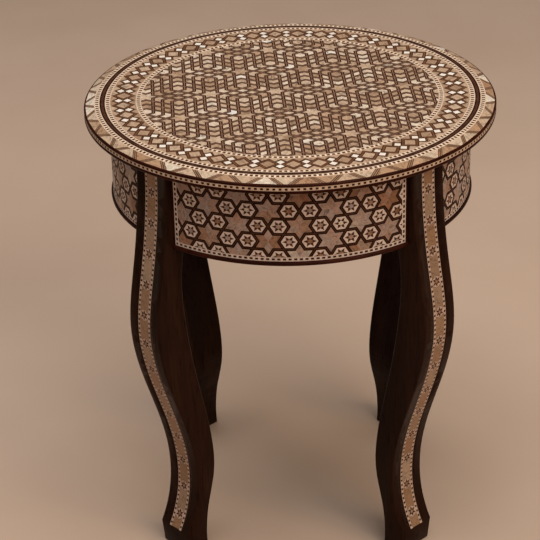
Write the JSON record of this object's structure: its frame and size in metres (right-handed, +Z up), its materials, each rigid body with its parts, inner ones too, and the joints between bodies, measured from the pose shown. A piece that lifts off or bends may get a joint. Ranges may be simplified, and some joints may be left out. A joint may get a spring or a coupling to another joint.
{
  "type": "inlaid side table",
  "caption": "Round side table with a star-and-hexagon inlaid top and rim, curved inlaid apron panels and sawn cabriole legs with inlay strips.",
  "frame": {"origin": "on the floor under the middle of the round top", "axes": "+Z up; one curved apron panel faces -Y (the front) and the legs stand on the diagonals"},
  "size_m": [0.4, 0.4, 0.449],
  "materials": {
    "dark_wood": "dark rosewood, polished",
    "plain_wood": "plain sanded hardwood",
    "star_mosaic": "brown wood strips round shell tiles, polished flush",
    "pearl_tiles": "tan mother-of-pearl, polished",
    "white_pearl": "white mother-of-pearl, polished",
    "band_mosaic": "brown wood strips round shell tiles, polished flush",
    "dotted_bone": "pale stringing with dark dots, polished",
    "apron_mosaic": "dark strips round shell tiles, polished flush",
    "leg_mosaic": "shell strip with dotted edges, polished flush",
    "screw_steel": "plain steel"
  },
  "bodies": {
    "root": {"apron_bead_back": "dark_wood", "apron_bead_front": "dark_wood", "apron_bead_left": "dark_wood", "apron_bead_right": "dark_wood", "apron_dot_frame_back": "dotted_bone", "apron_dot_frame_front": "dotted_bone", "apron_dot_frame_left": "dotted_bone", "apron_dot_frame_right": "dotted_bone", "apron_dowels": "plain_wood", "apron_panel_back": "dark_wood", "apron_panel_front": "dark_wood", "apron_panel_left": "dark_wood", "apron_panel_right": "dark_wood", "apron_star_panel_back": "apron_mosaic", "apron_star_panel_front": "apron_mosaic", "apron_star_panel_left": "apron_mosaic", "apron_star_panel_right": "apron_mosaic", "block_screws": "screw_steel", "leg_back_left": "dark_wood", "leg_back_right": "dark_wood", "leg_front_left": "dark_wood", "leg_front_right": "dark_wood", "leg_strip_back_left": "leg_mosaic", "leg_strip_back_right": "leg_mosaic", "leg_strip_front_left": "leg_mosaic", "leg_strip_front_right": "leg_mosaic", "top_block_back": "plain_wood", "top_block_front": "plain_wood", "top_block_left": "plain_wood", "top_block_right": "plain_wood", "top_border_ring": "band_mosaic", "top_dark_ring": "dark_wood", "top_diamond_band": "band_mosaic", "top_diamond_tiles": "pearl_tiles", "top_edge_bead": "dark_wood", "top_hexagon_tiles": "pearl_tiles", "top_inner_dot_ring": "dotted_bone", "top_lower_line": "dark_wood", "top_middle_dot_ring": "dotted_bone", "top_outer_dot_ring": "dotted_bone", "top_panel": "plain_wood", "top_rim_strip": "dotted_bone", "top_star_field": "star_mosaic", "top_star_tiles": "pearl_tiles", "top_white_tiles": "white_pearl"}
  },
  "joints": []
}
